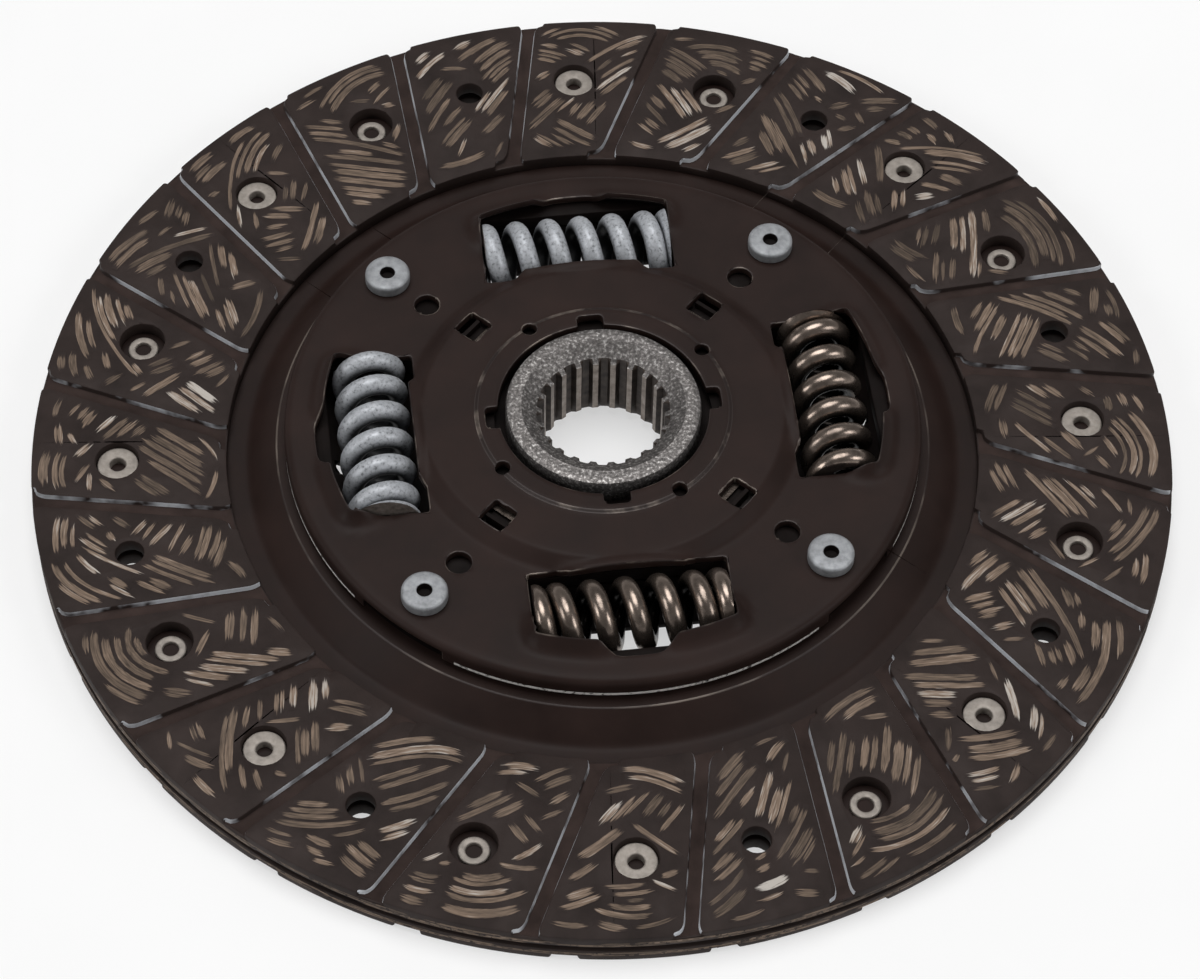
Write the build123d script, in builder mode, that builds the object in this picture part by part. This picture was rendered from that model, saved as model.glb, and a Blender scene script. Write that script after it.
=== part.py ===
import math
import os

from build123d import *

# Clutch disc in millimetres. The axis is Z, z = 0 is the lower friction face
# and the spring windows lie on the X and Y axes.

# Friction facings
facing_od = 200.0
facing_id = 0.66 * facing_od
facing_width = (facing_od - facing_id) / 2
facing_t = 2.9
groove_count = 24
groove_w = 2.4
groove_depth = 1.1
groove_skew = 0.1065 * facing_od
groove_angle = 3.75

# Driven plate, one stamping
plate_t = 1.2
plate_rise = 4.6
dish_drop = 1.2
bend_shift = 0.5
petal_count = 8
petal_angle = 32.6
petal_r = facing_od / 2 - 2.0
petal_slot_w = 6.0
petal_slot_r = facing_id / 2 + 4.0
joggle_out_r = facing_id / 2 - 4.2
joggle_in_r = joggle_out_r - plate_rise

# Facing rivets, tubular, two to a petal
rivet_circle = facing_id / 2 + 0.56 * facing_width
rivet_half_angle = 9.0
rivet_head_d = 7.2
rivet_head_t = 0.9
rivet_head_sunk = 1.2
rivet_shank_d = 4.4
rivet_tail_d = 5.4
rivet_tail_t = 0.7
rivet_bore_d = 3.1
rivet_seat_gap = 0.2
tail_hole_d = rivet_tail_d + 2.6
plain_hole_d = 4.9

# Rounds that repeat or are shut inside the damper are drawn with flat sides
small_round_sides = 8
pin_sides = 10
ring_sides = 36

# Retainer plate, whose rim sets the size of the damper
rim_r = joggle_in_r - 1.6
retainer_t = 1.5
rim_bend = 1.7
rim_drop = 3.8

# Damper springs
spring_count = 4
spring_circle = 0.716 * rim_r
spring_d = 0.2375 * rim_r
spring_length = 0.599 * rim_r
wire_d = 0.28 * spring_d
spring_pitch = 1.54 * wire_d
closed_pitch = 1.015 * wire_d
closed_turns = 0.85
end_seat = 0.245 * wire_d
wire_sides = 6
steps_per_turn = 10
spring_gap = 0.35

# Spring windows and their rolled lips, alike in both plates
window_in = spring_circle - spring_d / 2 - spring_gap
plate_window_ease = 0.55
lip_root_r = 0.939 * rim_r
lip_tip_r = 0.874 * rim_r
lip_rise = 0.052 * rim_r
lip_start = 5.5
lip_arc = 14.0
relief_half = 0.0845 * rim_r

# Dome, tongues and holes of the retainer plate
dome_rise = 2.1
dome_r = window_in - 1.25
dome_foot_r = dome_r + dome_rise + 0.7
tongue_w = 0.306 * rim_r
tongue_edge = 0.6
tool_hole_d = 4.4
tab_hole_circle = dome_r - 2.5
tab_hole_side = 4.8
vent_d = 2.6
vent_angle = 30.0
notch_depth = 2.2
notch_w = 4.6

# Stop pins
pin_circle = 0.8795 * rim_r
pin_spacer_d = 8.0
pin_shank_d = 5.0
pin_head_d = 8.0
pin_head_t = 2.2
pin_round = 0.5
pin_dimple_d = 3.0
pin_dimple_depth = 1.4
pin_fit = 0.05

# Hub and its flange
flange_t = 3.0
flange_gap = 0.3
flange_r = 0.917 * rim_r
flange_root_r = pin_circle - pin_spacer_d / 2 - 0.7
collar_r = 0.3067 * rim_r
collar_gap = 1.35
collar_stand = 1.1
barrel_r = collar_r - 0.55
hub_bottom = 0.6
twist_limit = 8.0
stop_gap = 0.3
spline_count = 22
spline_minor_r = 0.6276 * collar_r
spline_depth = 1.0
spline_tip_w = 0.196 * spline_minor_r
spline_root_w = 0.112 * spline_minor_r
lead_in_w = 2.7
lead_in_depth = 2.4

# Friction pack between the hub flange and the plates
face_fit = 0.05
washer_gap = 0.6
upper_washer_t = 1.0
thrust_t = 0.7
tab_r = tab_hole_circle + 0.2
tab_w = tab_hole_side - 0.6
tab_rise = 2.1
disc_spring_w = 4.0
bush_fit = 0.05
bush_wall = 1.55
bush_seat_gap = 0.1
bush_collar_w = 4.5
bush_collar_t = 0.95

# Levels that follow from the sizes above
petal_z = facing_t
upper_z = petal_z + plate_t
stack = upper_z + facing_t
plate_top = upper_z + plate_rise
plate_z = plate_top - plate_t
dish_top = plate_top - dish_drop
flange_z = plate_top + flange_gap
flange_top = flange_z + flange_t
retainer_z = flange_top + flange_gap
retainer_top = retainer_z + retainer_t
dome_z = retainer_z + dome_rise
dome_top = dome_z + retainer_t
collar_top = dome_top + collar_stand
centre_hole_r = collar_r + collar_gap
spring_z = (plate_top + retainer_z) / 2
head_angle = petal_angle + rivet_half_angle
tail_angle = petal_angle - rivet_half_angle
slot_angle = petal_angle - 180 / petal_count
window_half = spring_length / 2 + spring_gap
window_out = spring_circle + spring_d / 2 + spring_gap
pin_angle = 180 / spring_count
turn_over = Axis(
    (0, 0, stack / 2),
    (math.cos(math.radians(petal_angle)), math.sin(math.radians(petal_angle)), 0),
)


def lip_outline(face_z, sheet_t, side):
    """Section of a window lip that rises from a plate whose inner face is at face_z."""
    outer_z = face_z + side * sheet_t
    return [
        (lip_root_r, face_z),
        (lip_tip_r - bend_shift, face_z + side * lip_rise),
        (lip_tip_r, outer_z + side * lip_rise),
        (lip_root_r + bend_shift, outer_z),
    ]


def wire_point(turn, active_turns):
    """Centre of the spring wire after so many turns, with the end coils closed up."""
    last_turn = turn - closed_turns - active_turns
    rise = closed_pitch * (min(turn, closed_turns) + max(0, last_turn))
    rise += spring_pitch * max(0, min(turn - closed_turns, active_turns))
    coil_r = (spring_d - wire_d) / 2
    angle = 2 * math.pi * turn
    z = end_seat + rise - spring_length / 2
    return (coil_r * math.cos(angle), coil_r * math.sin(angle), z)


# Upper facing: a moulded ring with slanted grooves, seats for its own rivet
# heads, clear holes over the other rivets' tails and plain holes between petals
with BuildPart() as upper_facing:
    with BuildSketch(Plane.XY.offset(upper_z)):
        Circle(facing_od / 2)
        Circle(facing_id / 2, mode=Mode.SUBTRACT)
        with PolarLocations(rivet_circle, petal_count, start_angle=tail_angle):
            RegularPolygon(tail_hole_d / 2, small_round_sides, False, mode=Mode.SUBTRACT)
        with PolarLocations(rivet_circle, petal_count, start_angle=slot_angle):
            RegularPolygon(plain_hole_d / 2, small_round_sides, False, mode=Mode.SUBTRACT)
        with PolarLocations(rivet_circle, petal_count, start_angle=head_angle):
            shank_hole_r = rivet_shank_d / 2 + rivet_seat_gap / 2
            RegularPolygon(shank_hole_r, small_round_sides, False, mode=Mode.SUBTRACT)
    extrude(amount=facing_t)
    with BuildSketch(Plane.XY.offset(stack)):
        with PolarLocations(rivet_circle, petal_count, start_angle=head_angle):
            seat_r = rivet_head_d / 2 + rivet_seat_gap
            RegularPolygon(seat_r, small_round_sides, False)
    extrude(amount=-(rivet_head_sunk + rivet_head_t), mode=Mode.SUBTRACT)
    with BuildSketch(Plane.XY.offset(stack)):
        with PolarLocations(0, groove_count, start_angle=groove_angle):
            with Locations(((facing_od - facing_width) / 2, groove_skew)):
                Rectangle(2 * facing_width, groove_w)
    extrude(amount=-groove_depth, mode=Mode.SUBTRACT)
upper_facing.part.label = "upper_facing"

# Lower facing: the same ring turned over about the middle of a petal
with BuildPart() as lower_facing:
    add(upper_facing.part.rotate(turn_over, 180))
lower_facing.part.label = "lower_facing"

# Upper facing rivets: head in the upper facing, tail set against the petal
with BuildPart() as upper_facing_rivets:
    head_top = stack - rivet_head_sunk
    with BuildSketch(Plane.XY.offset(petal_z - rivet_tail_t)):
        with PolarLocations(rivet_circle, petal_count, start_angle=head_angle):
            RegularPolygon(rivet_tail_d / 2, small_round_sides)
    extrude(amount=rivet_tail_t)
    with BuildSketch(Plane.XY.offset(petal_z)):
        with PolarLocations(rivet_circle, petal_count, start_angle=head_angle):
            RegularPolygon(rivet_shank_d / 2, small_round_sides)
    extrude(amount=head_top - rivet_head_t - petal_z)
    with BuildSketch(Plane.XY.offset(head_top)):
        with PolarLocations(rivet_circle, petal_count, start_angle=head_angle):
            RegularPolygon(rivet_head_d / 2, small_round_sides)
    extrude(amount=-rivet_head_t)
    with BuildSketch(Plane.XY.offset(head_top)):
        with PolarLocations(rivet_circle, petal_count, start_angle=head_angle):
            RegularPolygon(rivet_bore_d / 2, small_round_sides)
    extrude(amount=-facing_od / 2, mode=Mode.SUBTRACT)
upper_facing_rivets.part.label = "upper_facing_rivets"

# Lower facing rivets: the same eight from below
with BuildPart() as lower_facing_rivets:
    add(upper_facing_rivets.part.rotate(turn_over, 180))
lower_facing_rivets.part.label = "lower_facing_rivets"

# Spring windows, cut alike through both plates, each with a straight piece left
# standing at the middle of its outer edge
plate_window_in = window_in - plate_window_ease
with BuildSketch() as windows:
    with PolarLocations(0, spring_count):
        with Locations((plate_window_in, 0)):
            Rectangle(rim_r - plate_window_in, 2 * window_half, align=(Align.MIN, Align.CENTER))
    Circle(lip_root_r - bend_shift, mode=Mode.INTERSECT)
    with PolarLocations(0, spring_count):
        with Locations((lip_tip_r, 0)):
            stub = lip_root_r - lip_tip_r
            Rectangle(stub, 2 * relief_half, align=(Align.MIN, Align.CENTER), mode=Mode.SUBTRACT)

# Holes at the stop pins, and plain tool holes inside them, in both plates
with BuildSketch() as pin_holes:
    with PolarLocations(pin_circle, spring_count, start_angle=pin_angle):
        RegularPolygon(pin_shank_d / 2 + pin_fit, pin_sides, False)
    with PolarLocations(spring_circle, spring_count, start_angle=pin_angle):
        RegularPolygon(tool_hole_d / 2, pin_sides, False)

# Driven plate: petals between the facings, a joggle up to the damper, a dished
# centre, and windows whose lips bend down under the springs
with BuildPart() as driven_plate:
    bush_hole_r = barrel_r + bush_fit + bush_wall + bush_seat_gap
    with BuildSketch(Plane.XZ):
        with BuildLine():
            Polyline(
                (bush_hole_r, dish_top - plate_t),
                (dome_r, dish_top - plate_t),
                (dome_r + dish_drop, plate_z),
                (joggle_in_r - bend_shift, plate_z),
                (joggle_out_r, petal_z),
                (petal_slot_r, petal_z),
                (petal_slot_r, upper_z),
                (joggle_out_r + bend_shift, upper_z),
                (joggle_in_r, plate_top),
                (dome_r + dish_drop - bend_shift, plate_top),
                (dome_r - bend_shift, dish_top),
                (bush_hole_r, dish_top),
                close=True,
            )
        make_face()
    revolve(axis=Axis.Z)
    with BuildSketch(Plane.XY.offset(petal_z)):
        Circle(petal_r)
        Circle(petal_slot_r - petal_slot_w / 2, mode=Mode.SUBTRACT)
    extrude(amount=plate_t)
    with BuildSketch(Plane.XY.offset(petal_z)):
        with PolarLocations(0, petal_count, start_angle=slot_angle):
            with Locations((petal_slot_r, 0)):
                RegularPolygon(petal_slot_w / 2, small_round_sides)
                Rectangle(facing_od / 2, petal_slot_w, align=(Align.MIN, Align.CENTER))
        with PolarLocations(rivet_circle, petal_count, start_angle=head_angle):
            RegularPolygon(shank_hole_r, small_round_sides, False)
        with PolarLocations(rivet_circle, petal_count, start_angle=tail_angle):
            RegularPolygon(shank_hole_r, small_round_sides, False)
    extrude(amount=plate_t, mode=Mode.SUBTRACT)
    with BuildSketch():
        add(windows.sketch)
        add(pin_holes.sketch)
    extrude(amount=plate_top, mode=Mode.SUBTRACT)
    with BuildSketch(Plane.XZ):
        Polygon(*lip_outline(plate_top, plate_t, -1), align=None)
    lower_lip = revolve(axis=Axis.Z, revolution_arc=lip_arc, mode=Mode.PRIVATE)
    with PolarLocations(0, spring_count, start_angle=lip_start):
        add(lower_lip)
    with PolarLocations(0, spring_count, start_angle=-lip_start - lip_arc):
        add(lower_lip)
driven_plate.part.label = "driven_plate"

# Retainer plate: a domed centre, a rim turned down between flat tongues at the
# stop pins, and windows whose lips bend up over the springs
with BuildPart() as retainer_plate:
    bend_r = rim_r - rim_bend
    bend_z = retainer_top - rim_bend
    rim_z = retainer_top - rim_drop
    with BuildSketch(Plane.XZ):
        with BuildLine():
            Polyline(
                (dome_foot_r - bend_shift, retainer_z),
                (dome_r - bend_shift, dome_z),
                (centre_hole_r, dome_z),
                (centre_hole_r, dome_top),
                (dome_r, dome_top),
                (dome_foot_r, retainer_top),
                (bend_r, retainer_top),
                (rim_r, bend_z),
                (rim_r, rim_z),
                (rim_r - retainer_t, rim_z),
                (rim_r - retainer_t, retainer_z),
                close=True,
            )
        make_face()
    revolve(axis=Axis.Z)
    with BuildSketch(Plane.XY.offset(rim_z)) as rim_breaks:
        with PolarLocations(0, spring_count, start_angle=pin_angle):
            with Locations((lip_root_r, 0)):
                Rectangle(rim_r, tongue_w, align=(Align.MIN, Align.CENTER))
    extrude(amount=retainer_z - rim_z, mode=Mode.SUBTRACT)
    with BuildSketch(Plane.XY.offset(rim_z)):
        add(rim_breaks.sketch_local)
        Circle(rim_r - tongue_edge, mode=Mode.SUBTRACT)
    extrude(amount=rim_drop, mode=Mode.SUBTRACT)
    with BuildSketch(Plane.XY.offset(retainer_z)):
        add(windows.sketch)
        add(pin_holes.sketch)
        with PolarLocations(tab_hole_circle, spring_count, start_angle=pin_angle):
            Rectangle(tab_hole_side, tab_hole_side)
        vent_circle = centre_hole_r + notch_depth + 1.1
        with PolarLocations(vent_circle, spring_count, start_angle=vent_angle):
            RegularPolygon(vent_d / 2, small_round_sides)
        with PolarLocations(0, spring_count):
            notch_r = centre_hole_r + notch_depth
            Rectangle(notch_r, notch_w, align=(Align.MIN, Align.CENTER))
    extrude(amount=dome_top - retainer_z, mode=Mode.SUBTRACT)
    with BuildSketch(Plane.XZ):
        Polygon(*lip_outline(retainer_z, retainer_t, 1), align=None)
    upper_lip = revolve(axis=Axis.Z, revolution_arc=lip_arc, mode=Mode.PRIVATE)
    with PolarLocations(0, spring_count, start_angle=lip_start):
        add(upper_lip)
    with PolarLocations(0, spring_count, start_angle=-lip_start - lip_arc):
        add(upper_lip)
retainer_plate.part.label = "retainer_plate"

# Splined hub: a collar and barrel round the spline, and a notched flange whose
# windows hold the springs and whose lobes stop against the pins
with BuildPart() as splined_hub:
    pin_at_stop = pin_circle * math.sin(math.radians(pin_angle - twist_limit))
    lobe_half = pin_at_stop - pin_spacer_d / 2 - stop_gap
    spline_major_r = spline_minor_r + spline_depth
    lead_in_r = spline_minor_r + lead_in_w
    with BuildSketch(Plane.XY.offset(flange_z)):
        with PolarLocations(0, spring_count):
            Rectangle(facing_id / 2, 2 * lobe_half, align=(Align.MIN, Align.CENTER))
        Circle(flange_r, mode=Mode.INTERSECT)
        Circle(flange_root_r)
        with PolarLocations(spring_circle, spring_count):
            Rectangle(window_out - window_in, 2 * window_half, mode=Mode.SUBTRACT)
    extrude(amount=flange_t)
    with BuildSketch(Plane.XY.offset(flange_z)):
        Circle(collar_r)
    extrude(amount=collar_top - flange_z)
    with BuildSketch(Plane.XY.offset(hub_bottom)):
        Circle(barrel_r)
    extrude(amount=flange_z - hub_bottom)
    with BuildSketch(Plane.XY.offset(hub_bottom)):
        Circle(spline_minor_r)
        with PolarLocations(0, spline_count):
            Polygon(
                (spline_minor_r - spline_depth / 3, -spline_tip_w / 2),
                (spline_major_r, -spline_root_w / 2),
                (spline_major_r, spline_root_w / 2),
                (spline_minor_r - spline_depth / 3, spline_tip_w / 2),
                align=None,
            )
    extrude(amount=collar_top - hub_bottom, mode=Mode.SUBTRACT)
    with BuildSketch(Plane.XZ):
        Polygon(
            (0, collar_top),
            (lead_in_r, collar_top),
            (spline_minor_r, collar_top - lead_in_depth),
            (0, collar_top - lead_in_depth),
            align=None,
        )
    revolve(axis=Axis.Z, mode=Mode.SUBTRACT)
splined_hub.part.label = "splined_hub"

# Stop pin: two set heads, shanks in the plates and a wide spacer between them
with BuildPart() as stop_pin:
    with BuildSketch(Plane.XY.offset(plate_z - pin_head_t)):
        with Locations((pin_circle, 0)):
            RegularPolygon(pin_head_d / 2, pin_sides)
    extrude(amount=pin_head_t)
    with BuildSketch(Plane.XY.offset(plate_z)):
        with Locations((pin_circle, 0)):
            RegularPolygon(pin_shank_d / 2, pin_sides)
    extrude(amount=retainer_top - plate_z)
    with BuildSketch(Plane.XY.offset(plate_top)):
        with Locations((pin_circle, 0)):
            RegularPolygon(pin_spacer_d / 2, pin_sides)
    extrude(amount=retainer_z - plate_top)
    with BuildSketch(Plane.XY.offset(retainer_top)):
        with Locations((pin_circle, 0)):
            RegularPolygon(pin_head_d / 2, pin_sides)
    extrude(amount=pin_head_t)
    chamfer(stop_pin.faces().sort_by(Axis.Z)[-1].edges(), pin_round)
    chamfer(stop_pin.faces().sort_by(Axis.Z)[0].edges(), pin_round)
    with BuildSketch(Plane.XY.offset(retainer_top + pin_head_t)):
        with Locations((pin_circle, 0)):
            RegularPolygon(pin_dimple_d / 2, pin_sides)
    extrude(amount=-pin_dimple_depth, mode=Mode.SUBTRACT)

stop_pins = []
for index in range(spring_count):
    with BuildPart() as placed_pin:
        add(stop_pin.part, rotation=(0, 0, pin_angle + index * 360 / spring_count))
    placed_pin.part.label = f"stop_pin_{index + 1}"
    stop_pins.append(placed_pin)

# Coil spring: right-hand wire with closed ends ground flat, drawn along Z in
# short straight steps
with BuildPart() as coil_spring:
    active_length = spring_length - 2 * end_seat - 2 * closed_turns * closed_pitch
    active_turns = active_length / spring_pitch
    turns = active_turns + 2 * closed_turns
    steps = round(turns * steps_per_turn)
    with BuildLine() as wire_path:
        Polyline(*[wire_point(turns * step / steps, active_turns) for step in range(steps + 1)])
    with BuildSketch(Plane(wire_path.line @ 0, x_dir=(1, 0, 0), z_dir=wire_path.line % 0)):
        RegularPolygon(wire_d / 2, wire_sides)
    sweep(transition=Transition.RIGHT)
    Box(2 * spring_d, 2 * spring_d, spring_length, mode=Mode.INTERSECT)

# The two springs on +X and -Y are oiled dark, the other two are bare
springs = []
for label, angle in (
    ("dark_spring_1", 0),
    ("light_spring_1", 90),
    ("light_spring_2", 180),
    ("dark_spring_2", 270),
):
    with BuildPart(Plane.XY.rotated((0, 0, angle))) as placed_spring:
        with Locations((spring_circle, 0, spring_z)):
            add(coil_spring.part, rotation=(-90, 0, 0))
    placed_spring.part.label = label
    springs.append(placed_spring)

# Friction pack above the flange: washer, tabbed thrust plate and disc spring
washer_r = dome_r - washer_gap
washer_in_r = centre_hole_r + washer_gap
with BuildPart() as upper_friction_washer:
    with BuildSketch(Plane.XY.offset(flange_top + face_fit)):
        RegularPolygon(washer_r, ring_sides)
        RegularPolygon(washer_in_r, ring_sides, False, mode=Mode.SUBTRACT)
    extrude(amount=upper_washer_t)
upper_friction_washer.part.label = "upper_friction_washer"

thrust_z = flange_top + face_fit + upper_washer_t
thrust_r = tab_r - 2 * thrust_t
with BuildPart() as thrust_plate:
    with BuildSketch(Plane.XY.offset(thrust_z)):
        RegularPolygon(thrust_r, ring_sides)
        with PolarLocations(0, spring_count, start_angle=pin_angle):
            Rectangle(tab_r + thrust_t, tab_w, align=(Align.MIN, Align.CENTER))
        RegularPolygon(washer_in_r, ring_sides, False, mode=Mode.SUBTRACT)
    extrude(amount=thrust_t)
    with BuildSketch(Plane.XY.offset(thrust_z)):
        with PolarLocations(tab_r + thrust_t / 2, spring_count, start_angle=pin_angle):
            Rectangle(thrust_t, tab_w)
    extrude(amount=tab_rise)
thrust_plate.part.label = "thrust_plate"

# Pressed flat between the thrust plate and the dome
with BuildPart() as disc_spring:
    disc_spring_z = thrust_z + thrust_t
    with BuildSketch(Plane.XY.offset(disc_spring_z)):
        RegularPolygon(thrust_r, ring_sides)
        RegularPolygon(thrust_r - disc_spring_w, ring_sides, False, mode=Mode.SUBTRACT)
    extrude(amount=dome_z - disc_spring_z)
disc_spring.part.label = "disc_spring"

# Friction washer below the flange, resting in the dish of the driven plate
with BuildPart() as lower_friction_washer:
    with BuildSketch(Plane.XY.offset(dish_top)):
        RegularPolygon(washer_r - washer_gap, ring_sides)
        lower_in_r = barrel_r + bush_collar_w + washer_gap
        RegularPolygon(lower_in_r, ring_sides, False, mode=Mode.SUBTRACT)
    extrude(amount=flange_z - face_fit - dish_top)
lower_friction_washer.part.label = "lower_friction_washer"

# Centring bush: runs on the hub barrel and clips under the driven plate
with BuildPart() as centring_bush:
    bush_in_r = barrel_r + bush_fit
    bush_z = dish_top - plate_t - face_fit - bush_collar_t
    with BuildSketch(Plane.XY.offset(bush_z)):
        RegularPolygon(bush_in_r + bush_wall, ring_sides)
        RegularPolygon(bush_in_r, ring_sides, False, mode=Mode.SUBTRACT)
    extrude(amount=flange_z - face_fit - bush_z)
    with BuildSketch(Plane.XY.offset(bush_z)):
        RegularPolygon(barrel_r + bush_collar_w, ring_sides)
        RegularPolygon(bush_in_r, ring_sides, False, mode=Mode.SUBTRACT)
    extrude(amount=bush_collar_t)
centring_bush.part.label = "centring_bush"

os.makedirs("parts", exist_ok=True)
for piece in (
    upper_facing,
    lower_facing,
    upper_facing_rivets,
    lower_facing_rivets,
    driven_plate,
    retainer_plate,
    *stop_pins,
    *springs,
    splined_hub,
    upper_friction_washer,
    thrust_plate,
    disc_spring,
    lower_friction_washer,
    centring_bush,
):
    export_step(piece.part, f"parts/{piece.part.label}.step")
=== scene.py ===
import math
import random

import bmesh
import bpy
from bpy.props import FloatProperty, FloatVectorProperty, IntProperty, PointerProperty
from mathutils import Matrix, Vector


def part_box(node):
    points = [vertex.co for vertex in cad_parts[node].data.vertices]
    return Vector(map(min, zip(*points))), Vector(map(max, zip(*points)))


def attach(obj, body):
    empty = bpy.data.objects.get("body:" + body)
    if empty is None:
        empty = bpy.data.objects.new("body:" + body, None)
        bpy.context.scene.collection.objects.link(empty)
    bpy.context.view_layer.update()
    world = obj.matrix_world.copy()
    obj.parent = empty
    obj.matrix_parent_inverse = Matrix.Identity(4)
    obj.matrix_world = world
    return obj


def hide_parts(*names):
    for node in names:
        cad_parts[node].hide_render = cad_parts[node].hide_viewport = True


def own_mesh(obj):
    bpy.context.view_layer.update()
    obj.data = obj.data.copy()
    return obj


bl_info = {
    "name": "Clutch Disc",
    "version": (1, 0, 0),
    "blender": (4, 5, 0),
    "location": "View3D > Sidebar > Clutch Disc",
    "description": "Builds the detailed clutch disc on its CAD frame",
    "category": "Object",
}

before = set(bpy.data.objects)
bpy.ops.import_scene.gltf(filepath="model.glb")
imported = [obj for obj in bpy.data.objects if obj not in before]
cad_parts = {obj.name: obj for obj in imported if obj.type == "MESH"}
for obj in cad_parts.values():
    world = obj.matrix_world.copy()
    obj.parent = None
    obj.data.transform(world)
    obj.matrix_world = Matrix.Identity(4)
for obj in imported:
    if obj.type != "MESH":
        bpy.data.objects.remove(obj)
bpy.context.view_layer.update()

# Shapes are worked out in millimetres in the CAD frame and made in metres
MM = 0.001


def node_mm(node):
    """Lowest and highest corner of a CAD node in millimetres."""
    low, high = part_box(node)
    return [v / MM for v in low], [v / MM for v in high]


FACING_LOW, FACING_HIGH = node_mm("upper_facing")
LOWER_HIGH = node_mm("lower_facing")[1]
PLATE_LOW, PLATE_HIGH = node_mm("driven_plate")
RETAINER_LOW, RETAINER_HIGH = node_mm("retainer_plate")
HUB_LOW, HUB_HIGH = node_mm("splined_hub")
SPRING_LOW, SPRING_HIGH = node_mm("dark_spring_1")
PIN_LOW, PIN_HIGH = node_mm("stop_pin_1")

# Facings and their holes
OUTER_R = FACING_HIGH[0]
INNER_R = 0.66 * OUTER_R
STACK_TOP = FACING_HIGH[2]
PETAL_Z = LOWER_HIGH[2]
PETAL_TOP = FACING_LOW[2]
HOLE_CIRCLE = INNER_R + 0.56 * (OUTER_R - INNER_R)
PETALS = 8
PETAL_ANGLE = 32.6
HEAD_ANGLE = PETAL_ANGLE + 9.0
TAIL_ANGLE = PETAL_ANGLE - 9.0
SLOT_ANGLE = PETAL_ANGLE - 22.5
HEAD_SEAT_R = 3.8
TAIL_HOLE_R = 4.0
PLAIN_HOLE_R = 2.45
SHANK_R = 2.2
HEAD_SEAT_DEPTH = 2.1
GROOVES = 24
GROOVE_W = 2.4
GROOVE_DEPTH = 1.1
GROOVE_SKEW = 0.1065 * 2 * OUTER_R
GROOVE_ANGLE = 3.75
FACE_MARGIN_IN = 1.2
FACE_MARGIN_OUT = 0.9
GROOVE_MARGIN = 0.3

# Yarn in the facings
YARN_STEP = 0.7
YARN_CELL = 0.6
YARN_SHORTEST = 5.2
LONG_SHARE = 0.25
PALE_SHARE = 0.08
EDGE_STRANDS = 260
STRAND_STEP = 1.8

# Damper
RIM_R = RETAINER_HIGH[0]
SPRINGS = 4
QUARTER = 90
PIN_ANGLE = 45
SHEET_T = 1.5
PLATE_T = 1.2
SPRING_R = (SPRING_HIGH[0] + SPRING_LOW[0]) / 2
SPRING_Z = (SPRING_HIGH[2] + SPRING_LOW[2]) / 2
SPRING_D = 0.2375 * RIM_R
SPRING_LENGTH = SPRING_HIGH[1] - SPRING_LOW[1]
WIRE_D = 0.28 * SPRING_D
RETAINER_Z = SPRING_Z + 1.8
RETAINER_TOP = RETAINER_Z + SHEET_T
DOME_TOP = RETAINER_TOP + 2.1
PLATE_TOP = SPRING_Z - 1.8
WINDOW_IN = SPRING_R - SPRING_D / 2 - 0.9
WINDOW_HALF = SPRING_LENGTH / 2 + 0.35
LIP_ROOT = 0.939 * RIM_R
LIP_TIP = 0.874 * RIM_R
LIP_RISE = 0.052 * RIM_R
LIP_BEND = 2.6
LIP_RELIEF = 1.6
INNER_REACH = 0.9
INNER_BACK = 1.2
INNER_LIP_RISE = 1.5
CUP_DEEP = SPRING_D / 2 + 0.8
CUP_WIDE = SPRING_D / 2 + 2.1
CUP_IN = SPRING_R - 2.2
CUP_OUT = SPRING_R + 2.4
CUP_NOTCH = 4.8
DOME_R = WINDOW_IN - 0.7
PIN_CIRCLE = 0.8795 * RIM_R
PIN_HEAD_R = 4.0
PIN_NECK_R = 2.5
PIN_HOLE_R = 2.55
LOCATING_HOLE_R = 2.2
TAB_HOLE_R = DOME_R - 2.5
TONGUE_HALF = 0.153 * RIM_R
COLLAR_R = 0.3067 * RIM_R
CENTRE_R = COLLAR_R + 1.35
BARREL_R = COLLAR_R - 0.55
SPLINE_R = 0.6276 * COLLAR_R
SPLINE_DEPTH = 1.0
SPLINE_TEETH = 22
TWIST = 8

# Distances from the middle of a window between which an edge changes
LIP_STARTS = (3.2, 7.0)
INNER_EDGE_ENDS = (10, 12)
INNER_LIP_ENDS = (10, 12.5)
NOTCH_SIDES = (1.2, 2.2)
LIP_ENDS = (WINDOW_HALF - 0.4, WINDOW_HALF + 2.0)
CUP_ENDS = (WINDOW_HALF - 0.4, WINDOW_HALF + 2.6)

# How far a cutter stands out of what it cuts
CUT_OVER = 1


def linear(hex_colour):
    """sRGB hex to linear red, green and blue."""
    parts = [int(hex_colour[i : i + 2], 16) / 255 for i in (1, 3, 5)]
    return tuple(c / 12.92 if c <= 0.04045 else ((c + 0.055) / 1.055) ** 2.4 for c in parts)


def setting(kind, name, description, default, **more):
    return kind(name=name, description=description, default=default, **more)


def colour_setting(name, description, hex_colour):
    return setting(FloatVectorProperty, name, description, linear(hex_colour), subtype="COLOR")


def length_setting(name, description, metres):
    return setting(FloatProperty, name, description, metres, unit="LENGTH")


def angle_setting(name, description, degrees):
    return setting(FloatProperty, name, description, math.radians(degrees), subtype="ANGLE")


class DiscLooks(bpy.types.PropertyGroup):
    """Colours of the disc's materials"""

    facing: colour_setting("Facing", "Dry resin of the friction facing", "#2a201d")
    yarn: colour_setting("Yarn", "Ground-off yarn in the facing", "#6e5e51")
    plate: colour_setting("Plate", "Black phosphate on the stampings", "#271c19")
    zinc: colour_setting("Zinc", "Plating on the pins", "#a0a2a5")
    rivet: colour_setting("Rivet", "Plating on the rivets", "#a19991")
    light_wire: colour_setting("Light wire", "Grey coat on the light springs", "#c0c3c8")
    dark_wire: colour_setting("Dark wire", "Oiled wire of the dark springs", "#92847a")
    hub: colour_setting("Hub", "Shot-blasted hub steel", "#7a7674")


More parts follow.
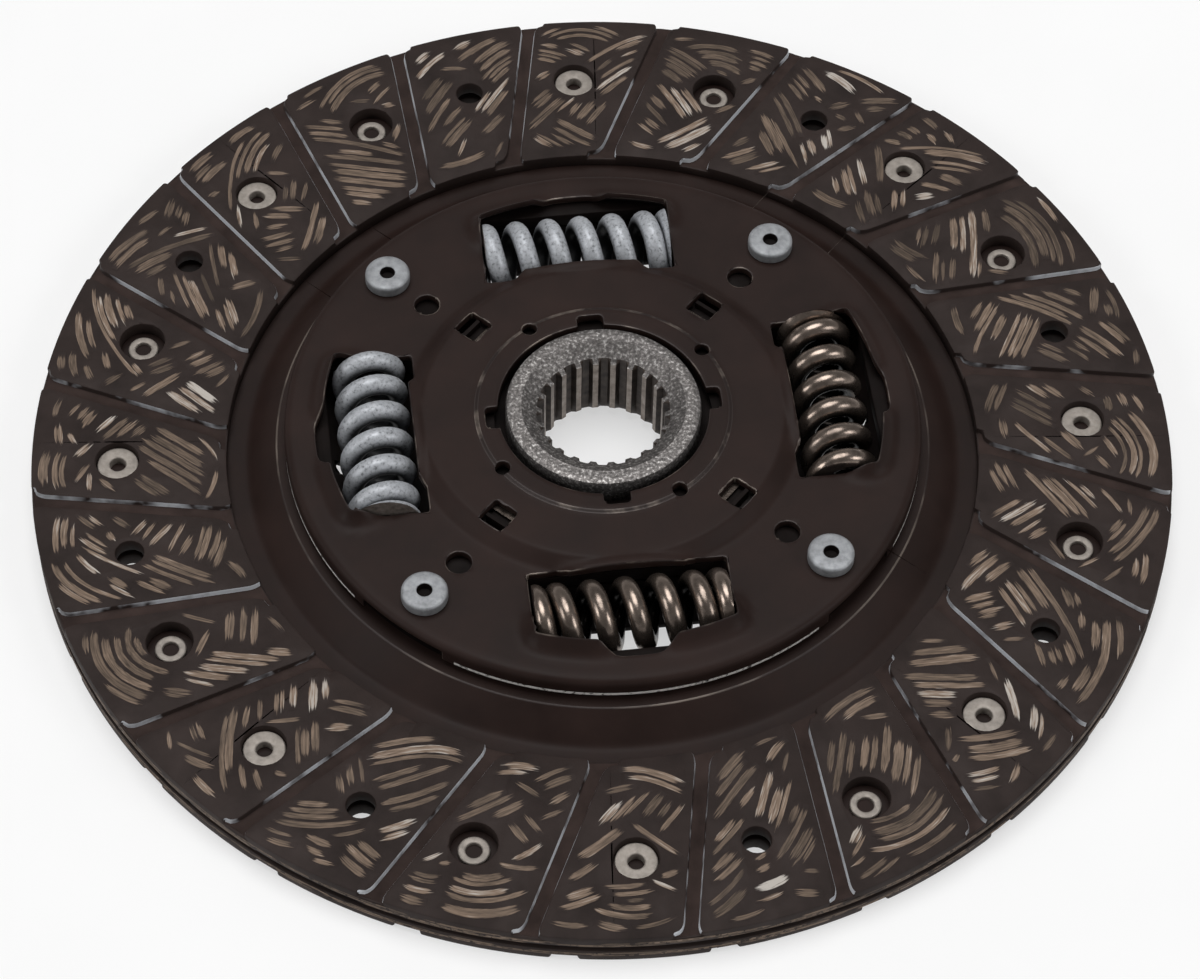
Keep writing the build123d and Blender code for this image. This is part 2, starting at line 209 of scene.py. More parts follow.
class DiscDetail(bpy.types.PropertyGroup):
    """Sizes and counts that the CAD leaves to the looks"""

    edge_round: length_setting("Edge round", "Rounding of stamped edges", 0.22 * MM)
    facing_round: length_setting("Facing edge round", "Rounding of the facing's edges", 0.34 * MM)
    yarn_width: length_setting("Yarn width", "Width of one yarn in the facing", 1.6 * MM)
    yarn_bundles: setting(IntProperty, "Yarn bundles", "Bundles of yarn that are tried", 5200)
    yarn_seed: setting(IntProperty, "Yarn seed", "Start of the yarn's random order", 11)


class DiscStage(bpy.types.PropertyGroup):
    """Camera and light"""

    lens: setting(FloatProperty, "Lens", "Focal length on a 36 mm sensor", 112.1, unit="CAMERA")
    distance: length_setting("Distance", "From the point looked at", 0.6506)
    elevation: angle_setting("Elevation", "Camera height angle over the disc", 53.96)
    turn: angle_setting("Turn", "Camera's turn about the disc's axis", -8.1)
    roll: angle_setting("Roll", "Camera's turn about its own line of sight", 1.286)
    aim: setting(
        FloatVectorProperty,
        "Aim",
        "Point looked at, before the turn",
        (-0.29 * MM, -10.98 * MM, STACK_TOP * MM),
        subtype="TRANSLATION",
    )
    key_strength: setting(FloatProperty, "Key light", "Large soft light overhead", 1.75)
    fill_strength: setting(FloatProperty, "Fill light", "Soft light from each front corner", 0.65)


# Shapes are pairs of vertex and face lists, in millimetres


def ease(low, high, value):
    """Smooth step from 0 at low to 1 at high."""
    t = min(1, max(0, (value - low) / (high - low)))
    return t * t * (3 - 2 * t)


def arc(radius, start, end, steps, centre=(0, 0)):
    """Points on an arc, angles in degrees."""
    angles = [math.radians(start + (end - start) * i / steps) for i in range(steps + 1)]
    return [(centre[0] + radius * math.cos(a), centre[1] + radius * math.sin(a)) for a in angles]


def circle(radius, sides, centre=(0, 0)):
    return arc(radius, 0, 360 - 360 / sides, sides - 1, centre)


def box_outline(x0, y0, x1, y1):
    return [(x0, y0), (x1, y0), (x1, y1), (x0, y1)]


def rounded_box(x0, y0, x1, y1, radius, steps=4):
    return rounded([(*corner, radius) for corner in box_outline(x0, y0, x1, y1)], steps)


def rounded(corners, steps=4):
    """A closed outline of (x, y, radius) corners, each rounded by at most half of its sides."""
    result = []
    for i, (x, y, radius) in enumerate(corners):
        if radius == 0:
            result.append((x, y))
            continue
        here = Vector((x, y))
        before = Vector(corners[i - 1][:2]) - here
        after = Vector(corners[(i + 1) % len(corners)][:2]) - here
        reach = min(radius, before.length / 2, after.length / 2)
        first = here + before.normalized() * reach
        last = here + after.normalized() * reach
        for k in range(steps + 1):
            t = k / steps
            point = first * (1 - t) ** 2 + here * 2 * t * (1 - t) + last * t * t
            result.append((point.x, point.y))
    return result


def divided(outline, longest):
    """A closed outline with its long sides split up."""
    result = []
    for i, start in enumerate(outline):
        end = outline[(i + 1) % len(outline)]
        parts = max(1, math.ceil(math.dist(start, end) / longest))
        for k in range(parts):
            t = k / parts
            result.append((start[0] + (end[0] - start[0]) * t, start[1] + (end[1] - start[1]) * t))
    return result


def bands(rings, count, closed=True):
    """Faces between rings of so many vertices, where the last ring may join the first."""
    faces = []
    for i in range(rings if closed else rings - 1):
        here, there = i * count, (i + 1) % rings * count
        for k in range(count):
            n = (k + 1) % count
            faces.append((here + k, there + k, there + n, here + n))
    return faces


def revolved(sections):
    """Closed sections of radius and height, each at its angle about the axis."""
    verts = []
    for angle, section in sections:
        c, s = math.cos(angle), math.sin(angle)
        verts += [(r * c, r * s, z) for r, z in section]
    return verts, bands(len(sections), len(sections[0][1]))


def lathe(profile, steps):
    """A closed profile of radius and height, turned about the axis."""
    return revolved([(2 * math.pi * i / steps, profile) for i in range(steps)])


def prism(outline, low, high):
    """A flat outline raised from one height to another."""
    count = len(outline)
    verts = [(x, y, low) for x, y in outline] + [(x, y, high) for x, y in outline]
    faces = [tuple(reversed(range(count))), tuple(range(count, 2 * count))]
    faces += [(k, (k + 1) % count, count + (k + 1) % count, count + k) for k in range(count)]
    return verts, faces


def joined(shapes):
    verts, faces = [], []
    for shape_verts, shape_faces in shapes:
        base = len(verts)
        verts += shape_verts
        faces += [tuple(base + i for i in face) for face in shape_faces]
    return verts, faces


def placed(shape, matrix):
    return [tuple(matrix @ Vector(v)) for v in shape[0]], shape[1]


def around(shape, count, start):
    """Copies of a shape about the axis, the first at the start angle."""
    turns = [Matrix.Rotation(math.radians(start + 360 * i / count), 4, "Z") for i in range(count)]
    return joined([placed(shape, turn) for turn in turns])


def turned_over(shape):
    """A piece of the upper half as it sits in the lower half, turned about a petal's middle."""
    axis = (math.cos(math.radians(PETAL_ANGLE)), math.sin(math.radians(PETAL_ANGLE)), 0)
    middle = Matrix.Translation((0, 0, STACK_TOP / 2))
    return placed(shape, middle @ Matrix.Rotation(math.pi, 4, axis) @ middle.inverted())


def new_mesh(name, shape):
    """A mesh in metres from a shape in millimetres."""
    mesh = bpy.data.meshes.new(name)
    mesh.from_pydata([tuple(c * MM for c in v) for v in shape[0]], [], shape[1])
    return mesh


def add_object(name, data):
    obj = bpy.data.objects.new(name, data)
    bpy.context.scene.collection.objects.link(obj)
    return obj


def make_object(name, shape):
    """A mesh object with outward faces."""
    mesh = new_mesh(name, shape)
    mesh.validate()
    edit = bmesh.new()
    edit.from_mesh(mesh)
    bmesh.ops.recalc_face_normals(edit, faces=edit.faces)
    edit.to_mesh(mesh)
    edit.free()
    return add_object(name, mesh)


def mark_points(mesh, name, values):
    """Gives each vertex a value that a material reads."""
    mesh.attributes.new(name, "FLOAT", "POINT").data.foreach_set("value", values)


def apply_modifiers(obj):
    bpy.context.view_layer.update()
    graph = bpy.context.evaluated_depsgraph_get()
    mesh = bpy.data.meshes.new_from_object(obj.evaluated_get(graph))
    obj.modifiers.clear()
    obj.data = mesh


def carve(obj, *shapes):
    """Cuts closed shapes out of an object, one after the other."""
    for shape in shapes:
        cutter = make_object("cutter", shape)
        cut = obj.modifiers.new("cut", "BOOLEAN")
        cut.operation = "DIFFERENCE"
        cut.solver = "EXACT"
        cut.object = cutter
        apply_modifiers(obj)
        bpy.data.objects.remove(cutter)
    if len(obj.data.polygons) == 0:
        raise RuntimeError(f"the cuts left nothing of {obj.name}")


def soften(obj, width, segments=2, edge_slot=-1):
    """Rounds an object's sharp edges, which may take a material slot of their own."""
    edit = bmesh.new()
    edit.from_mesh(obj.data)
    # The cuts leave edges that are too short to round
    bmesh.ops.remove_doubles(edit, verts=edit.verts, dist=width / 2)
    bmesh.ops.dissolve_degenerate(edit, edges=edit.edges, dist=width / 10)
    edit.to_mesh(obj.data)
    edit.free()
    bevel = obj.modifiers.new("edges", "BEVEL")
    bevel.width = width
    bevel.segments = segments
    bevel.limit_method = "ANGLE"
    bevel.angle_limit = math.radians(38)
    bevel.use_clamp_overlap = False
    bevel.material = edge_slot
    apply_modifiers(obj)
    smooth(obj, 30)


def smooth(obj, degrees):
    """Smooth shading, kept sharp at edges over an angle."""
    obj.data.shade_smooth()
    obj.data.set_sharp_from_angle(angle=math.radians(degrees))


def coat(obj, *materials):
    for material in materials:
        obj.data.materials.append(material)


def finish_piece(obj, body, slot, *nodes):
    """Hands a piece to its body and hides the CAD nodes it stands for; the slot is not used."""
    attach(obj, body)
    if nodes:
        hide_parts(*nodes)


# Materials


def per_mm(millimetres):
    """Texture scale, per metre, for a pattern that repeats at a real size."""
    return 1 / (millimetres * MM)


def tones(colour, *stops):
    """Ramp stops that are darker or lighter tones of one colour."""
    return [(position, tuple(c * factor for c in colour)) for position, factor in stops]


def add_node(tree, kind, inputs=None, stops=None, **settings):
    """A node with its settings, inputs that are values or sockets, and the stops of a colour ramp."""
    made = tree.nodes.new("ShaderNode" + kind)
    for key, value in settings.items():
        setattr(made, key, value)
    for key, value in (inputs or {}).items():
        if isinstance(value, bpy.types.NodeSocket):
            tree.links.new(value, made.inputs[key])
        else:
            made.inputs[key].default_value = value
    for i, (position, colour) in enumerate(stops or ()):
        elements = made.color_ramp.elements
        element = elements[i] if i < 2 else elements.new(position)
        element.position = position
        element.color = (*colour, 1)
    return made


def mottled(name, stops, patch, rough, grain=0.3, depth=0.02, metallic=0.0, specular=0.5):
    """A material whose colour and roughness drift in patches over a fine grain, sizes in mm."""
    material = bpy.data.materials.new(name)
    material.use_nodes = True
    tree = material.node_tree
    shader = tree.nodes["Principled BSDF"]
    place = add_node(tree, "TexCoord").outputs["Object"]
    size = {"Vector": place, "Scale": per_mm(patch), "Detail": 4.0, "Roughness": 0.6}
    cloud = add_node(tree, "TexNoise", size).outputs["Fac"]
    size = {"Vector": place, "Scale": per_mm(grain), "Detail": 2.0}
    pits = add_node(tree, "TexNoise", size).outputs["Fac"]
    colour = add_node(tree, "ValToRGB", {"Fac": cloud}, stops)
    limits = {"From Min": 0.3, "From Max": 0.7, "To Min": rough[0], "To Max": rough[1]}
    sheen = add_node(tree, "MapRange", {"Value": cloud, **limits})
    height = {"Height": pits, "Distance": depth * MM, "Strength": 0.6}
    relief = add_node(tree, "Bump", height)
    tree.links.new(colour.outputs["Color"], shader.inputs["Base Color"])
    tree.links.new(sheen.outputs["Result"], shader.inputs["Roughness"])
    tree.links.new(relief.outputs["Normal"], shader.inputs["Normal"])
    shader.inputs["Metallic"].default_value = metallic
    shader.inputs["Specular IOR Level"].default_value = specular
    return material


def moulded_facing(name, colour):
    # Pressed resin and fibre: dull charcoal with faint clouding and a fine dry grain
    stops = tones(colour, (0.3, 0.75), (0.7, 1.3))
    return mottled(name, stops, 9, (0.75, 0.6), grain=0.35, depth=0.05, specular=0.25)


def rubbed_facing_edge_painted_highlight(colour):
    # Walls and edges of the grooves: rubbed grey with a painted highlight, pale grey that comes and
    # goes along each block and stands in for light caught on the edges
    stops = tones(colour, (0.45, 1.1)) + [(0.5, linear("#96979b")), (0.56, linear("#c6c9ce"))]
    return mottled("rubbed_facing_edge_painted_highlight", stops, 15, (0.55, 0.4), grain=0.5, depth=0.03)


def dusty_groove(colour):
    # Floor of the grooves: grey-brown grinding dust, dull
    stops = tones(colour, (0.3, 1.0), (0.7, 1.9))
    return mottled("dusty_facing_groove", stops, 5, (0.85, 0.75), grain=0.4, depth=0.05, specular=0.2)


def ground_yarn(ground, colour):
    # Ground-off yarn: brown fibres in streaks that sink into the resin at their sides and ends
    material = moulded_facing("ground_facing_yarn", ground)
    tree = material.node_tree
    shader = tree.nodes["Principled BSDF"]
    resin = shader.inputs["Base Color"].links[0].from_socket
    place = add_node(tree, "Attribute", attribute_name="fibre").outputs["Vector"]
    # A fibre is drawn 0.28 mm thick, coarser than real, and shows for about 4 mm
    size = {"Vector": place, "Scale": (1 / 4, 1 / 0.28, 1)}
    laid = add_node(tree, "Mapping", size).outputs["Vector"]
    fibres = {"Vector": laid, "Scale": 1.0, "Detail": 2.0, "Roughness": 0.6}
    streak = add_node(tree, "TexNoise", fibres).outputs["Fac"]
    tone = add_node(tree, "Attribute", attribute_name="tone").outputs["Fac"]
    bare = add_node(tree, "Attribute", attribute_name="bare").outputs["Fac"]
    shade = add_node(tree, "Math", {0: streak, 1: 1.1, 2: tone}, operation="MULTIPLY_ADD")
    stops = tones(colour, (0.2, 0.4), (0.5, 0.9), (0.75, 1.6)) + [(1.0, linear("#bdb6ae"))]
    yarn = add_node(tree, "ValToRGB", {"Fac": shade.outputs["Value"]}, stops)
    above = add_node(tree, "Math", {0: bare, 1: streak}, operation="ADD")
    limits = {"Value": above.outputs["Value"], "From Min": 1.16, "From Max": 1.34}
    cover = add_node(tree, "MapRange", limits).outputs["Result"]
    parts = {"Factor": cover, "A": resin, "B": yarn.outputs["Color"]}
    both = add_node(tree, "Mix", parts, data_type="RGBA")
    tree.links.new(both.outputs["Result"], shader.inputs["Base Color"])
    return material


def black_phosphate(colour):
    # Black phosphated sheet: satin, almost even, with faint smears of dried oil
    stops = tones(colour, (0.3, 0.8), (0.72, 1.35))
    grain = {"grain": 0.5, "depth": 0.012}
    return mottled("black_phosphated_steel", stops, 14, (0.45, 0.55), specular=0.12, **grain)


def black_painted_shade(colour):
    # Inside of the damper: the same black coat, darkened as painted shade for the parts that lie in
    # the damper's shadow
    stops = tones(colour, (0.3, 0.2), (0.7, 0.4))
    return mottled("black_steel_painted_shade", stops, 6, (0.7, 0.6), grain=0.5, depth=0.012, specular=0.12)


def sheared_edge_painted_glint():
    # Torn sheet edge: bare sheared steel with a painted glint, near-white ragged bits between dark
    # gaps
    stops = [(0.34, linear("#2a2320")), (0.46, linear("#f4f1ed"))]
    return mottled("bare_steel_edge_painted_glint", stops, 0.8, (0.6, 0.45), depth=0.1, metallic=0.2)


def edge_wear_and_glint(name, colour, patch):
    # Edge or bend worn through its black coat, with a painted highlight: a thin line of paler dull
    # steel with breaks in it, partly wear and partly light caught on the edge
    stops = [(0.5, colour), (0.68, linear("#776c63"))]
    return mottled(name, stops, patch, (0.5, 0.4), grain=0.4, metallic=0.3)


def zinc_plate(colour):
    # Zinc plate: soft pale bluish metal with dull, slightly darker clouds
    stops = tones(colour, (0.3, 0.62), (0.62, 1))
    return mottled("zinc_plated_pin_steel", stops, 1.6, (0.6, 0.48), grain=0.25, metallic=0.55)


def plated_rivet(colour):
    # Plated rivet: warm pale metal, dulled by setting
    stops = tones(colour, (0.3, 0.72), (0.62, 1))
    return mottled("plated_rivet_steel", stops, 1.2, (0.6, 0.5), grain=0.2, depth=0.015, metallic=0.5)


def painted_coil_shade(material):
    """Darkens a wire towards the inside of its coil, as painted shade between and under the coils."""
    tree = material.node_tree
    shader = tree.nodes["Principled BSDF"]
    outward = add_node(tree, "Attribute", attribute_name="outward").outputs["Fac"]
    limits = {"Value": outward, "From Min": -0.2, "From Max": 0.55, "To Min": 0.03, "To Max": 1.0}
    unshaded = add_node(tree, "MapRange", limits).outputs["Result"]
    parts = {"Factor": 1.0, "A": shader.inputs["Base Color"].links[0].from_socket, "B": unshaded}
    dark = add_node(tree, "Mix", parts, data_type="RGBA", blend_type="MULTIPLY")
    tree.links.new(dark.outputs["Result"], shader.inputs["Base Color"])
    return material


def grey_coated_wire(colour):
    # Grey-coated wire: soft bluish grey with fine dark pits
    stops = tones(colour, (0.32, 0.35), (0.46, 0.8), (0.7, 1))
    wire = mottled("grey_coated_spring_steel", stops, 0.6, (0.55, 0.42), depth=0.03, metallic=0.35)
    return painted_coil_shade(wire)


def oiled_wire(colour):
    # Oiled drawn wire: brown-black with hard highlights
    stops = tones(colour, (0.3, 0.45), (0.6, 1))
    wire = mottled("oiled_spring_steel", stops, 2.0, (0.3, 0.22), grain=0.4, metallic=0.9)
    return painted_coil_shade(wire)


def ground_end(name, dark, light):
    # Ground spring end: flat dull steel with fine grinding clouds
    stops = [(0.3, linear(dark)), (0.65, linear(light))]
    return mottled(name, stops, 1.1, (0.55, 0.45), grain=0.25, metallic=0.6)


def blasted_steel(colour):
    # Shot-blasted steel: grey pits with small sparkling facets
    stops = tones(colour, (0.36, 0.5), (0.54, 1)) + [(0.72, linear("#cfccc9"))]
    grain = {"grain": 0.4, "depth": 0.08}
    return mottled("shot_blasted_steel", stops, 0.55, (0.6, 0.45), metallic=0.85, **grain)


def broached_steel():
    # Broached spline: smoother, brownish grey metal
    stops = [(0.3, linear("#7b716a")), (0.7, linear("#a0978f"))]
    return mottled("broached_spline_steel", stops, 1.5, (0.5, 0.4), metallic=0.7)


def spline_gap_shade():
    # Bottoms of the spline gaps: brown-black, a painted shade in the narrow gaps
    stops = [(0.3, linear("#241c19")), (0.7, linear("#4a4039"))]
    return mottled("spline_gap_painted_shade", stops, 1.5, (0.55, 0.45), metallic=0.4)


def moulded_ring():
    # Moulded friction ring: plain brown-black, dull
    stops = [(0.3, linear("#1c1614")), (0.7, linear("#2c2420"))]
    return mottled("moulded_friction_ring", stops, 3, (0.8, 0.7), grain=0.4, depth=0.03)


def white_table():
    # Matt white table top: even, with the faintest clouding
    stops = [(0.3, linear("#f8f8f8")), (0.7, linear("#fefefe"))]
    material = mottled("matt_white_table", stops, 60, (0.9, 0.9), grain=1, depth=0.001)
    tree = material.node_tree
    # About half of what the eye sees of it is plain white, so that its shadows stay pale
    plain = 0.55
    rays = add_node(tree, "LightPath").outputs
    seen = rays["Is Camera Ray"]
    for kind in ("Is Glossy Ray", "Is Transmission Ray"):
        either = {0: seen, 1: rays[kind]}
        seen = add_node(tree, "Math", either, operation="ADD").outputs["Value"]
    share = add_node(tree, "Math", {0: seen, 1: plain}, operation="MULTIPLY")
    white = add_node(tree, "Emission", {"Color": (1, 1, 1, 1), "Strength": 1.0})
    matt = tree.nodes["Principled BSDF"].outputs["BSDF"]
    parts = {0: share.outputs["Value"], 1: matt, 2: white.outputs["Emission"]}
    both = add_node(tree, "MixShader", parts)
    tree.links.new(both.outputs["Shader"], tree.nodes["Material Output"].inputs["Surface"])
    return material


def groove_distance(x, y):
    """Distance of a point of the upper facing from the middle of the nearest groove."""
    angle = math.degrees(math.atan2(y, x))
    radius = math.hypot(x, y)
    swing = math.degrees(math.asin(min(1, GROOVE_SKEW / radius)))
    step = 360 / GROOVES
    off = (angle - swing - GROOVE_ANGLE + step / 2) % step - step / 2
    return abs(math.radians(off)) * math.sqrt(max(0, radius**2 - GROOVE_SKEW**2))


def hole_distance(x, y):
    """Distance of a point of the upper facing from the edge of the nearest hole."""
    angle = math.degrees(math.atan2(y, x))
    nearest = OUTER_R
    step = 360 / PETALS
    for start, radius in (
        (HEAD_ANGLE, HEAD_SEAT_R),
        (TAIL_ANGLE, TAIL_HOLE_R),
        (SLOT_ANGLE, PLAIN_HOLE_R),
    ):
        centre = math.radians(start + step * round((angle - start) / step))
        across = math.hypot(x - HOLE_CIRCLE * math.cos(centre), y - HOLE_CIRCLE * math.sin(centre))
        nearest = min(nearest, across - radius)
    return nearest


def on_face(x, y, margin):
    """Whether a point is on the flat of the upper facing."""
    radius = math.hypot(x, y)
    if not INNER_R + FACE_MARGIN_IN + margin < radius < OUTER_R - FACE_MARGIN_OUT - margin:
        return False
    beside = groove_distance(x, y) > GROOVE_W / 2 + GROOVE_MARGIN + margin
    return beside and hole_distance(x, y) > margin


def groove_outline():
    """Outline of the groove along X, flared at both ends where the blocks' corners are rounded."""
    ends = [math.sqrt(radius**2 - GROOVE_SKEW**2) for radius in (INNER_R, OUTER_R)]
    steps, overrun = 5, 6
    inner_flare, outer_flare = (3.2, 2.0), (2.4, 1.5)
    low, high = [], []
    for k in range(steps + 1):
        bulge = 1 - math.sqrt(1 - (1 - k / steps) ** 2)
        low.append((ends[0] + inner_flare[0] * k / steps, GROOVE_W / 2 + inner_flare[1] * bulge))
        high.append((ends[1] - outer_flare[0] * k / steps, GROOVE_W / 2 + outer_flare[1] * bulge))
    side = [(ends[0] - overrun, low[0][1])] + low + high[::-1] + [(ends[1] + overrun, high[0][1])]
    upper = [(x, GROOVE_SKEW + y) for x, y in side]
    lower = [(x, GROOVE_SKEW - y) for x, y in side]
    return lower + upper[::-1]


class DISC_OT_facings(bpy.types.Operator):
    """Makes both friction facings with their grooves and holes"""

    bl_idname = "disc.facings"
    bl_label = "Facings"

    def execute(self, context):
        looks = context.scene.disc_looks
        ring = box_outline(INNER_R, PETAL_TOP, OUTER_R, STACK_TOP)
        obj = make_object("upper_facing_ring", lathe(ring, 240))
        over, under = STACK_TOP + CUT_OVER, PETAL_TOP - CUT_OVER
        seat_z = STACK_TOP - HEAD_SEAT_DEPTH
        floor_z = STACK_TOP - GROOVE_DEPTH
        centre = (HOLE_CIRCLE, 0)
        groove = prism(groove_outline(), floor_z, over)
        seat = prism(circle(HEAD_SEAT_R, 28, centre), seat_z, over)
        shank = prism(circle(SHANK_R, 16, centre), under, seat_z + 0.2)
        tail = prism(circle(TAIL_HOLE_R, 28, centre), under, over)
        plain = prism(circle(PLAIN_HOLE_R, 24, centre), under, over)
        carve(
            obj,
            around(groove, GROOVES, GROOVE_ANGLE),
            joined([around(seat, PETALS, HEAD_ANGLE), around(tail, PETALS, TAIL_ANGLE)]),
            joined([around(shank, PETALS, HEAD_ANGLE), around(plain, PETALS, SLOT_ANGLE)]),
        )
        coat(
            obj,
            moulded_facing("moulded_friction_facing", looks.facing),
            rubbed_facing_edge_painted_highlight(looks.facing),
            dusty_groove(looks.facing),
        )
        soften(obj, context.scene.disc_detail.facing_round)
        rim, near, flare = 0.4, 0.05, 2.2
        for face in obj.data.polygons:
            x, y, z = (c / MM for c in face.center)
            inside = INNER_R + rim < math.hypot(x, y) < OUTER_R - rim
            if not inside or not floor_z - near < z < STACK_TOP - near:
                continue
            # Walls beside a groove take the rubbed grey with its painted highlight, groove floors the
            # grinding dust
            if groove_distance(x, y) < GROOVE_W / 2 + flare:
                if face.normal.z < 0.6:
                    face.material_index = 1
                elif z < floor_z + 2 * near:
                    face.material_index = 2
        below = add_object("lower_facing_ring", obj.data.copy())
        spots = turned_over(([tuple(c / MM for c in v.co) for v in obj.data.vertices], []))[0]
        for vert, spot in zip(below.data.vertices, spots):
            vert.co = [c * MM for c in spot]
        finish_piece(obj, "plates", "facing", "upper_facing")
        finish_piece(below, "plates", "facing", "lower_facing")
        return {"FINISHED"}


def sideways(points, i):
    """Unit vector across a path at one of its points."""
    last = len(points) - 1
    ahead = Vector(points[min(i + 1, last)]) - Vector(points[max(i - 1, 0)])
    return Vector((-ahead.y, ahead.x)).normalized()


def shifted(points, off):
    """A path moved sideways."""
    sides = [sideways(points, i) * off for i in range(len(points))]
    return [(x + side.x, y + side.y) for (x, y), side in zip(points, sides)]


def yarn_path(rng, length):
    """A stretch of yarn that swings between the edges of the facing as it was wound."""
    swings = rng.choice((-1, 1)) * rng.uniform(4.5, 7.5)
    middle = (INNER_R + OUTER_R) / 2 + 0.5
    swing = (OUTER_R - INNER_R) / 2 - rng.uniform(1.0, 5.0)
    start = rng.uniform(0, 2 * math.pi)
    phase = rng.uniform(0, 2 * math.pi)
    points, angle = [], start
    while len(points) * YARN_STEP < length:
        turn = swings * (angle - start) + phase
        radius = middle + swing * math.cos(turn)
        slope = swing * swings * math.sin(turn)
        points.append((radius * math.cos(angle), radius * math.sin(angle)))
        angle += YARN_STEP / math.hypot(radius, slope)
    return points


def yarn_cells(path, offsets):
    """Cells of the bed under lines beside a path."""
    lines = [shifted(path, off) for off in offsets]
    places = zip(*lines)
    return [[(round(x / YARN_CELL), round(y / YARN_CELL)) for x, y in spots] for spots in places]


def yarn_strokes(rng, width, tries):
    """Paths, widths and tones of the yarns that show on a facing, in bundles that don't cross."""
    owner = {}
    strokes = []
    for bundle in range(tries):
        long_ones = bundle < tries * LONG_SHARE
        path = yarn_path(rng, rng.uniform(14, 30) if long_ones else rng.uniform(7, 14))
        count = rng.choice((3, 4, 5, 6)) if long_ones else rng.choice((1, 2, 3, 4))
        tone = rng.gauss(-0.04, 0.13)
        off = 0.0
        for _ in range(count):
            thick = width * rng.uniform(0.5, 1.25)
            trim = len(path) // 5
            line = shifted(path, off)[rng.randint(0, trim) : len(path) - rng.randint(0, trim)]
            off += thick + rng.uniform(-0.05, 0.5)
            under = yarn_cells(line, (-thick / 2, 0, thick / 2))
            run = []
            for point, cells in [*zip(line, under), (None, ())]:
                free = all(owner.get(cell, bundle) == bundle for cell in cells)
                if point and free and on_face(*point, thick / 2):
                    run.append(point)
                    continue
                if len(run) * YARN_STEP > YARN_SHORTEST:
                    pale = 0.25 if rng.random() < PALE_SHARE else 0
                    strokes.append((run, thick, tone + pale + rng.uniform(-0.08, 0.08)))
                    for cells in yarn_cells(run, (-thick / 2, -thick / 4, 0, thick / 4, thick / 2)):
                        owner.update(dict.fromkeys(cells, bundle))
                run = []
    return strokes


def stroke_shape(rng, path, width, tone):
    """A flat yarn, with each vertex's place along and across its fibres, its tone and bareness."""
    seed = rng.uniform(0, 500)
    lean = rng.uniform(-0.1, 0.1)
    lift = rng.uniform(0.01, 0.03)
    verts, faces, marks = [], [], []
    last = len(path) - 1
    sides = ((-0.5, 0.4), (-0.34, 0.95), (0, 1.0), (0.34, 0.95), (0.5, 0.4))
    for i, (x, y) in enumerate(path):
        end = ease(-0.6, 2.6, min(i, last - i) * YARN_STEP)
        side = sideways(path, i) * width * (0.75 + 0.25 * end)
        for part, bareness in sides:
            verts.append((x + side.x * part, y + side.y * part, STACK_TOP + lift))
            place = (seed + i * YARN_STEP, seed + part * width, seed)
            marks.append((place, tone + lean * (2 * i / last - 1), bareness * (0.45 + 0.55 * end)))
    count = len(sides)
    for i in range(last):
        for j in range(count - 1):
            a = i * count + j
            faces.append((a, a + count, a + count + 1, a + 1))
    return (verts, faces), marks


def edge_strand(rng):
    """A strand that shows on the outside edge of a facing, below the grooves."""
    middle = rng.uniform(PETAL_TOP + 0.35, STACK_TOP - GROOVE_DEPTH - 0.35)
    half = rng.uniform(0.1, 0.28)
    start = rng.uniform(0, 2 * math.pi)
    steps = rng.randint(3, 9)
    seed = rng.uniform(0, 500)
    tone = rng.uniform(-0.3, 0.05)
    radius = OUTER_R + 0.02
    verts, faces, marks = [], [], []
    for i in range(steps + 1):
        angle = start + i * STRAND_STEP / radius
        x, y = radius * math.cos(angle), radius * math.sin(angle)
        for side in (-half, half):
            verts.append((x, y, middle + side))
            place = (seed + STRAND_STEP * i, seed + side, seed)
            marks.append((place, tone, 0.9 if 0 < i < steps else 0.4))
        if i:
            base = 2 * i
            faces.append((base - 2, base, base + 1, base - 1))
    return (verts, faces), marks


class DISC_OT_yarn(bpy.types.Operator):
    """Lays the ground-off yarn into both facings"""

    bl_idname = "disc.yarn"
    bl_label = "Yarn"

    def execute(self, context):
        looks, detail = context.scene.disc_looks, context.scene.disc_detail
        rng = random.Random(detail.yarn_seed)
        material = ground_yarn(looks.facing, looks.yarn)
        strokes = yarn_strokes(rng, detail.yarn_width / MM, detail.yarn_bundles)
        made = [stroke_shape(rng, *stroke) for stroke in strokes]
        made += [edge_strand(rng) for _ in range(EDGE_STRANDS)]
        shape = joined([strand for strand, _ in made])
        marks = [mark for _, part in made for mark in part]
        for name, laid in (("upper_facing_yarn", shape), ("lower_facing_yarn", turned_over(shape))):
            mesh = new_mesh(name, laid)
            fibre = mesh.attributes.new("fibre", "FLOAT_VECTOR", "POINT")
            fibre.data.foreach_set("vector", [c for place, _, _ in marks for c in place])
            mark_points(mesh, "tone", [tone for _, tone, _ in marks])
            mark_points(mesh, "bare", [bare for _, _, bare in marks])
            obj = add_object(name, mesh)
            coat(obj, material)
            finish_piece(obj, "plates", "facing")
        return {"FINISHED"}


